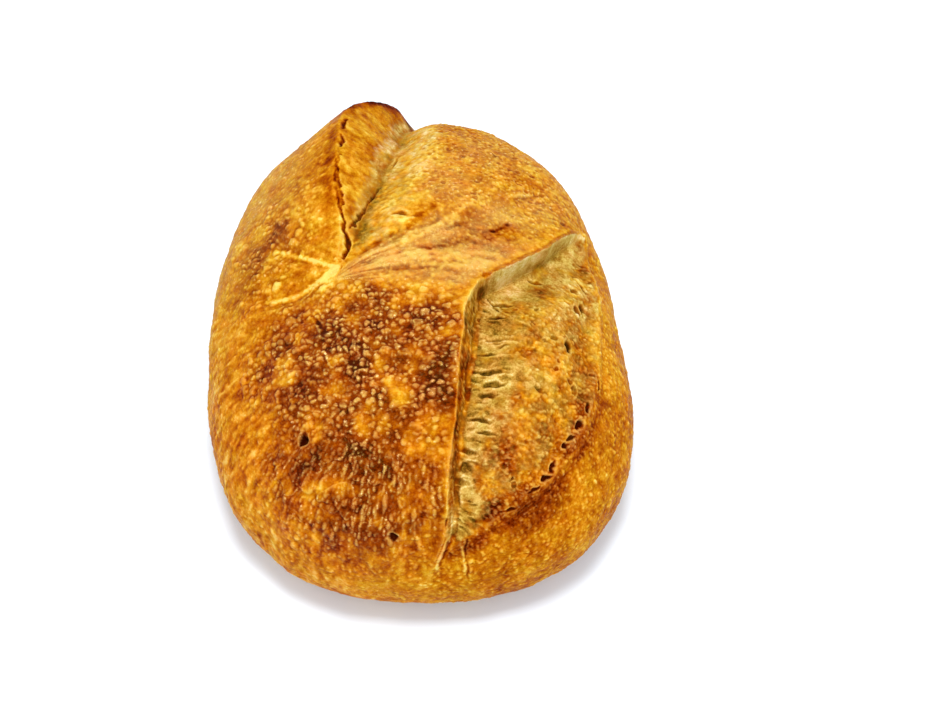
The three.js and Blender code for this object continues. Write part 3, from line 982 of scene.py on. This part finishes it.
def laid_under(place):
    """Places of the underside, laid out flat round its own middle."""
    bearing = bearing_of(place)
    return towards(bearing, (math.pi - polar_angle(place)) * crown_to_bulge(bearing) / BULGE_ANGLE)


def add_object(name, data):
    thing = bpy.data.objects.new(name, data)
    bpy.context.scene.collection.objects.link(thing)
    return thing


def add_piece(name, mesh, laid_flat):
    """An object with that mesh, and with the places of its faces' corners on the bake map."""
    mesh.uv_layers.new(name="OFBake").data.foreach_set("uv", laid_flat.astype(np.float32).ravel())
    return add_object(name, mesh)


def crust_piece(name, points, normals, triangles, shares, laid_flat):
    used, corners = np.unique(triangles, return_inverse=True)
    corners = corners.reshape(-1, 3)
    mesh = bpy.data.meshes.new(name)
    mesh.vertices.add(len(used))
    mesh.loops.add(corners.size)
    mesh.polygons.add(len(corners))
    mesh.vertices.foreach_set("co", (points[used] * MM).ravel())
    mesh.loops.foreach_set("vertex_index", corners.ravel().astype(np.int32))
    mesh.polygons.foreach_set("loop_start", np.arange(0, corners.size, 3, dtype=np.int32))
    mesh.polygons.foreach_set("use_smooth", np.ones(len(corners), bool))
    mesh.update(calc_edges=True)
    mesh.normals_split_custom_set_from_vertices(normals[used])
    for share, values in shares.items():
        attribute = mesh.attributes.new(share, "FLOAT", "POINT")
        attribute.data.foreach_set("value", values[used].astype(np.float32))
    spread = laid_flat[used] - laid_flat[used].min(axis=0)
    spread = MAP_MARGIN + (1 - 2 * MAP_MARGIN) * spread / spread.max()
    return add_piece(name, mesh, spread[corners.ravel()])


def make_crust():
    directions, triangles = geodesic_sphere(EDGE_DIVISIONS)
    place = crust_places(directions)
    points, shares = crust_surface(place, triangles)
    normals = vertex_normals(points, triangles)
    sector = sector_of(directions, triangles)
    pieces = []
    for name in [*SECTORS, "underside"]:
        laid_flat = laid_under(place) if name == "underside" else place
        pieces.append(crust_piece(name, points, normals, triangles[sector == name], shares, laid_flat))
    return pieces


# ---------------- torn threads and loose flakes
THREADS = 420
THREAD_RINGS = 7
SUNK_IN = 0.15  # how deep the threads and flakes start in the crust
# Curled slivers of crust: x and y of both ends, half width, and how high the middle and the far end stand.
FLAKES = [
    ((-13, 0), (1, -8), 1.1, 0.5, 1.6),
    ((-40, 9), (-35, 1), 0.8, 0.5, 1.0),
    ((-52, -36), (-47, -39), 1.3, 0.9, 1.2),
    ((-20, 70), (-24, 62), 0.7, 0.4, 0.9),
    ((-22, 100), (-25, 92), 0.8, 0.5, 1.0),
    ((-16, -50), (-14, -57), 0.9, 0.4, 0.8),
    ((60, -5), (62, -10), 1.6, 0.8, 1.4),
    ((24, 13), (27, 8), 0.9, 0.5, 0.9),
]


def tubes(lines, ups, half_width, half_height, sides):
    """Points and quads of tubes round lines of points (lines x rings x 3), flattened across their ups."""
    count, rings = lines.shape[:2]
    beside = np.cross(np.gradient(lines, axis=1), ups)
    beside /= np.maximum(np.linalg.norm(beside, axis=2, keepdims=True), 1e-9)
    turns = np.arange(sides) / sides * 2 * math.pi + math.pi / sides
    points = lines[:, :, None] + beside[:, :, None] * (half_width[:, :, None] * np.cos(turns))[..., None]
    points = points + ups[:, :, None] * (half_height[:, :, None] * np.sin(turns))[..., None]
    tube, ring, side = np.meshgrid(np.arange(count), np.arange(rings - 1), np.arange(sides), indexing="ij")
    first = (tube * rings + ring) * sides
    following = first + (side + 1) % sides
    quads = np.stack([first + side, following, following + sides, first + side + sides], axis=-1)
    return points.reshape(-1, 3), quads.reshape(-1, 4)


def quad_piece(name, points, quads, rows):
    """A piece of quads, mapped in strips: every one of its rows has as many quads."""
    mesh = bpy.data.meshes.new(name)
    mesh.from_pydata((points * MM).tolist(), [], quads.tolist())
    mesh.polygons.foreach_set("use_smooth", np.ones(len(quads), bool))
    mesh.update()
    columns = len(quads) // rows
    row, column = np.divmod(np.arange(len(quads)), columns)
    corner = np.array([(0.1, 0.1), (0.9, 0.1), (0.9, 0.9), (0.1, 0.9)])
    cells = np.column_stack([column, row])[:, None] + corner
    return add_piece(name, mesh, cells / max(rows, columns))


def laid_lines(starts, ends, arch, tip, sway):
    """Lines from starts to ends on the map, ends on the crust, arched over it. Gives points and ups."""
    share = np.linspace(0, 1, THREAD_RINGS)
    way = (ends - starts)[:, None]
    beside = np.stack([-way[..., 1], way[..., 0]], axis=-1)
    swing = sway[:, None] * np.sin(share * math.pi) * np.sin(share * 5 + sway[:, None] * 90)
    place = starts[:, None] + way * share[None, :, None] + beside * swing[..., None]
    flat = place.reshape(-1, 2)
    height, near, *_ = crust_height(flat)
    height = height.reshape(len(starts), -1)
    chord = lerp(height[:, :1], height[:, -1:], share)
    bow = arch[:, None] * 4 * share * (1 - share) + tip[:, None] * share**2
    height = (np.maximum(chord, height - 0.1) + chord) / 2 + bow - SUNK_IN
    points = crust_points(flat, near, height.ravel()).reshape(*place.shape[:2], 3)
    return points, outward_normal(flat).reshape(points.shape)


def on_curve(curve, along):
    """A curve's columns at each way along it."""
    return np.column_stack([np.interp(along, curve[:, -1], column) for column in curve.T])


def make_threads():
    """Thin threads of crumb strung from the front ear's foot."""
    curve = spline_through(FRONT_SCORE)
    along = rng.uniform(38, 168, THREADS)
    here = on_curve(curve, along)
    way = (on_curve(curve, along + 1) - here)[:, :2]
    way /= np.linalg.norm(way, axis=1, keepdims=True)
    out = np.column_stack([way[:, 1], -way[:, 0]])
    bearing = bearing_of(out) - np.radians(rng.normal(14, 20, THREADS))
    off = here[:, 3] + np.abs(rng.normal(0, 4, THREADS)) - 0.6
    starts = here[:, :2] + out * off[:, None]
    ends = starts + towards(bearing, rng.uniform(2, 6.5, THREADS))
    arch = rng.uniform(-0.1, 0.4, THREADS)
    sway = rng.uniform(-0.25, 0.25, THREADS)
    lines, ups = laid_lines(starts, ends, arch, np.zeros(THREADS), sway)
    share = np.linspace(-1, 1, THREAD_RINGS)
    radius = rng.uniform(0.08, 0.2, THREADS)[:, None] * (0.7 + 1.4 * share**2)
    points, quads = tubes(lines, ups, radius, radius, 4)
    return quad_piece("threads", points, quads, THREADS // 10)


def make_flakes():
    """Slivers of crust that have lifted off at one end."""
    starts, ends = np.array([row[:2] for row in FLAKES], float).swapaxes(0, 1)
    half_width, arch, tip = np.array([row[2:] for row in FLAKES]).T
    lines, ups = laid_lines(starts, ends, arch, tip, np.full(len(FLAKES), 0.08))
    share = np.linspace(0, 1, THREAD_RINGS)
    width = half_width[:, None] * (0.15 + np.sin(share * math.pi) ** 0.7)
    points, quads = tubes(lines, ups, width, np.full(width.shape, 0.18), 6)
    return quad_piece("flakes", points, quads, len(FLAKES))


# ---------------- materials
def srgb(red, green, blue):
    """A linear colour from the 0 to 255 numbers of a colour picker."""
    channels = [c / 255 for c in (red, green, blue)]
    return [c / 12.92 if c <= 0.04045 else ((c + 0.055) / 1.055) ** 2.4 for c in channels] + [1]


class Nodes:
    """Short names for making and joining the nodes of one material."""

    def __init__(self, name):
        self.material = bpy.data.materials.new(name)
        self.material.use_nodes = True
        self.tree = self.material.node_tree
        self.shader = self.tree.nodes["Principled BSDF"]
        self.place = self.make("ShaderNodeTexCoord").outputs["Object"]

    def make(self, kind, **settings):
        node = self.tree.nodes.new(kind)
        for key, value in settings.items():
            setattr(node, key, value)
        return node

    def feed(self, socket, value):
        if isinstance(value, bpy.types.NodeSocket):
            self.tree.links.new(value, socket)
        else:
            socket.default_value = value

    def set(self, name, value):
        """Feed an input of the material's own shader."""
        self.feed(self.shader.inputs[name], value)

    def share(self, name):
        return self.make("ShaderNodeAttribute", attribute_name=name).outputs["Fac"]

    def math(self, operation, first, second=0.0, third=0.0, clamp=False):
        node = self.make("ShaderNodeMath", operation=operation, use_clamp=clamp)
        for socket, value in zip(node.inputs, (first, second, third)):
            self.feed(socket, value)
        return node.outputs[0]

    def noise(self, size, detail=3.0, roughness=0.55):
        """Noise with lumps of about the given size in millimetres, from 0 to 1."""
        node = self.make("ShaderNodeTexNoise")
        self.feed(node.inputs["Vector"], self.place)
        node.inputs["Scale"].default_value = 1 / (size * MM)
        node.inputs["Detail"].default_value = detail
        node.inputs["Roughness"].default_value = roughness
        return node.outputs["Fac"]

    def grain(self, size, detail):
        """The same noise, about 0."""
        return self.math("SUBTRACT", self.noise(size, detail), 0.5)

    def add(self, base, amount, value, clamp=False):
        """base plus amount times value."""
        return self.math("MULTIPLY_ADD", value, amount, base, clamp)

    def ramp(self, share, stops):
        node = self.make("ShaderNodeValToRGB")
        elements = node.color_ramp.elements
        while len(elements) < len(stops):
            elements.new(1)
        for element, (position, colour) in zip(elements, stops):
            element.position = position
            element.color = colour
        self.feed(node.inputs["Fac"], share)
        return node.outputs["Color"]

    def range(self, value, low, high, to_low=0.0, to_high=1.0):
        node = self.make("ShaderNodeMapRange")
        for socket, number in zip(node.inputs, (value, low, high, to_low, to_high)):
            self.feed(socket, number)
        return node.outputs[0]

    def mix(self, share, first, second, blend="MIX"):
        node = self.make("ShaderNodeMix", data_type="RGBA", blend_type=blend)
        self.feed(node.inputs["Factor"], share)
        colours = [socket for socket in node.inputs if socket.type == "RGBA"]
        self.feed(colours[0], first)
        self.feed(colours[1], second)
        return next(socket for socket in node.outputs if socket.type == "RGBA")

    def bump(self, height, distance, strength):
        node = self.make("ShaderNodeBump")
        node.inputs["Strength"].default_value = strength
        node.inputs["Distance"].default_value = distance * MM
        self.feed(node.inputs["Height"], height)
        return node.outputs[0]


CRUST_COLOURS = [
    (0.0, srgb(214, 178, 88)),
    (0.16, srgb(203, 146, 42)),
    (0.34, srgb(184, 117, 14)),
    (0.5, srgb(161, 89, 3)),
    (0.66, srgb(138, 62, 1)),
    (0.8, srgb(112, 39, 0)),
    (0.92, srgb(86, 22, 0)),
    (1.0, srgb(56, 10, 0)),
]
CRUMB_COLOURS = [
    (0.0, srgb(48, 30, 4)),
    (0.25, srgb(108, 72, 14)),
    (0.5, srgb(158, 111, 38)),
    (0.75, srgb(193, 153, 78)),
    (1.0, srgb(220, 190, 136)),
]
# The colours are multiplied by these, and so wander between redder and yellower.
HUES = [
    (0.25, (1.0, 0.76, 0.6, 1)),
    (0.5, (1.0, 1.0, 1.0, 1)),
    (0.75, (1.0, 1.22, 1.2, 1)),
]
# FLOUR_AND_HIGHLIGHT is the colour of flour dust and of the painted highlights; GLINT is that of the painted
# glints.
FLOUR_AND_HIGHLIGHT = srgb(194, 149, 76)
GLINT = srgb(246, 206, 146)
SHEEN = srgb(255, 180, 50)


def crust_material():
    m = Nodes("baked_crust")
    fine, mid = m.grain(0.8, 4), m.grain(3, 4)
    matte, flour_and_highlight = m.share("matte"), m.share("flour_and_highlight")
    toast_and_shading = m.add(m.add(m.share("toast_and_shading"), 0.42, fine), 0.58, mid)
    # The flour colour, which is also the painted highlight on raised tops.
    speckled = m.math("MULTIPLY", flour_and_highlight, m.range(fine, -0.15, 0.15, 0.5, 1.4), clamp=True)
    crust = m.mix(speckled, m.ramp(toast_and_shading, CRUST_COLOURS), FLOUR_AND_HIGHLIGHT)
    # Painted glints: small pale spots on the raised tops, fewer where the crust is matte.
    glint = m.math("MULTIPLY", m.range(m.noise(1.3, 2), 0.6, 0.68), flour_and_highlight, clamp=True)
    crust = m.mix(m.math("MULTIPLY", glint, m.range(matte, 0, 0.5, 1, 0.3)), crust, GLINT)
    light = m.add(m.add(m.share("crumb_light"), 0.7, fine), 0.5, mid)
    torn = m.range(m.add(m.share("crumb"), 0.9, mid), 0.25, 0.8)
    colour = m.mix(torn, crust, m.ramp(light, CRUMB_COLOURS))
    hue = m.ramp(m.math("ADD", m.noise(8, 3), m.share("golden")), HUES)
    m.set("Base Color", m.mix(1.0, colour, hue, "MULTIPLY"))
    m.set("Roughness", m.add(m.range(m.noise(1.4, 3), 0.3, 0.7, 0.2, 0.42), 0.4, matte, clamp=True))
    m.set("Specular IOR Level", m.range(m.share("gloss"), 0, 1, 0.005, 0.1))
    m.set("Specular Tint", SHEEN)
    m.set("Normal", m.bump(m.noise(0.8, 5, 0.62), 0.35, 0.55))
    return m.material


def thread_material():
    m = Nodes("crumb_threads")
    m.set("Base Color", m.ramp(m.add(0.62, 1.2, m.grain(5, 3)), CRUMB_COLOURS))
    m.set("Roughness", 0.6)
    m.set("Specular IOR Level", 0.1)
    return m.material


def flake_material():
    m = Nodes("crust_flakes")
    m.set("Base Color", m.ramp(m.add(0.46, 1.8, m.grain(2, 4)), CRUST_COLOURS))
    m.set("Roughness", 0.4)
    m.set("Specular IOR Level", 0.1)
    return m.material


def floor_material():
    m = Nodes("pale_floor")
    m.set("Base Color", srgb(228, 238, 248))
    m.set("Roughness", 0.9)
    return m.material


# ---------------- floor, lights and camera, in metres
CAMERA_AZIMUTH = math.radians(5.75)
CAMERA_ELEVATION = math.radians(58)
CAMERA_DISTANCE = 0.95
CAMERA_TARGET = Vector((0.024, -0.0132, 0.04))
CAMERA_LENS = 76.2  # this and the sensor's width in millimetres
CAMERA_SENSOR = 36
FLOOR_HALF = 4
FLOOR_GAP = 0.0002  # below the loaf's base
WORLD_STRENGTH = 0.95
LIT_POINT = Vector((0, 0, 0.05))
# Name, place, size, power in watts.
SOFTBOXES = [
    ("key", (0.0, -0.12, 1.2), (0.28, 0.28), 11),
    ("fill", (0.3, -1.2, 0.75), (1.3, 0.5), 5),
]


def add_floor():
    mesh = bpy.data.meshes.new("floor")
    corners = [(x * FLOOR_HALF, y * FLOOR_HALF, 0) for x, y in [(-1, -1), (1, -1), (1, 1), (-1, 1)]]
    mesh.from_pydata(corners, [], [(0, 1, 2, 3)])
    mesh.materials.append(floor_material())
    floor = add_object("floor", mesh)
    floor.location.z = -FLOOR_GAP


def aim(thing, place, direction):
    thing.location = place
    thing.rotation_euler = direction.to_track_quat("-Z", "Y").to_euler()


def add_camera():
    data = bpy.data.cameras.new("camera")
    data.lens = CAMERA_LENS
    data.sensor_width = CAMERA_SENSOR
    level = math.cos(CAMERA_ELEVATION)
    east, north = math.sin(CAMERA_AZIMUTH) * level, math.cos(CAMERA_AZIMUTH) * level
    looking = Vector((east, north, -math.sin(CAMERA_ELEVATION)))
    camera = add_object("camera", data)
    aim(camera, CAMERA_TARGET - looking * CAMERA_DISTANCE, looking)
    bpy.context.scene.camera = camera


def add_softbox(name, place, size, power):
    data = bpy.data.lights.new(name, "AREA")
    data.shape = "RECTANGLE"
    data.size, data.size_y = size
    data.energy = power
    aim(add_object(name, data), place, LIT_POINT - Vector(place))


def light_studio():
    world = bpy.data.worlds.new("studio")
    world.use_nodes = True
    background = world.node_tree.nodes["Background"]
    background.inputs["Color"].default_value = (1, 1, 1, 1)
    background.inputs["Strength"].default_value = WORLD_STRENGTH
    bpy.context.scene.world = world
    for softbox in SOFTBOXES:
        add_softbox(*softbox)
    bpy.context.scene.view_settings.view_transform = "Standard"


# ---------------- the scene
def plain(box):
    return [[float(c) for c in corner] for corner in box]


add_camera()
pieces = {piece: crust_material for piece in make_crust()}
pieces[make_threads()] = thread_material
pieces[make_flakes()] = flake_material
materials = {maker: maker() for maker in (crust_material, thread_material, flake_material)}
for piece, maker in pieces.items():
    piece.data.materials.append(materials[maker])
    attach(piece, "root")
    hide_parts("loaf")
add_floor()
light_studio()
